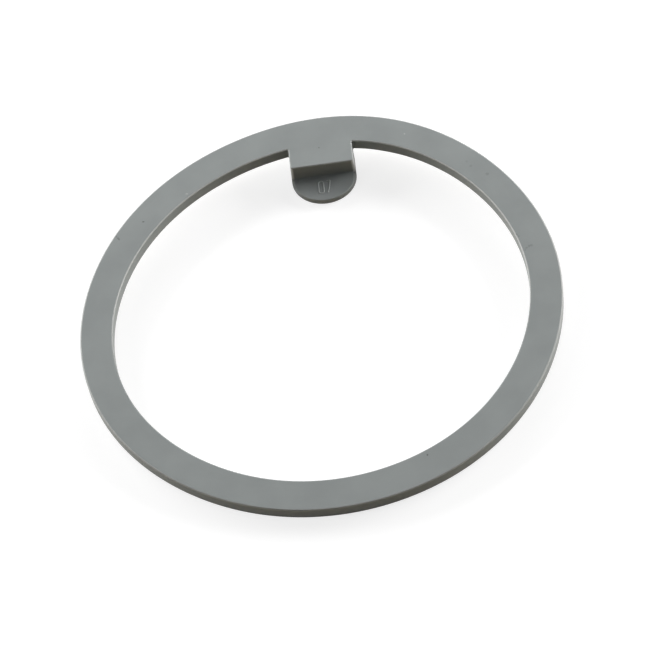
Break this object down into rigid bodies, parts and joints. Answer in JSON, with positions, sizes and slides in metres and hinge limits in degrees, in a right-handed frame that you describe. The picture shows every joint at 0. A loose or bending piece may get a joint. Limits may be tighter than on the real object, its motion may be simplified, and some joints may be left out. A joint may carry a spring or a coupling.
{
  "type": "blender lid gasket",
  "caption": "Flat soft rubber ring with an oblong section and an inward lift tab stepped down to a half-round tongue; seals a lid onto a jar's rim.",
  "frame": {"origin": "on the ring's axis, level with the underside of the tab, which is the part's lowest face", "axes": "+Z along the ring's axis, from its underside up to the flat top that the tab's block is flush with; the tab points inwards from +Y; +X to the right of the tab"},
  "size_m": [0.115, 0.115, 0.0065],
  "materials": {
    "rubber": "soft satin mid-grey rubber as moulded"
  },
  "bodies": {
    "root": {"gasket": "rubber"}
  },
  "joints": []
}
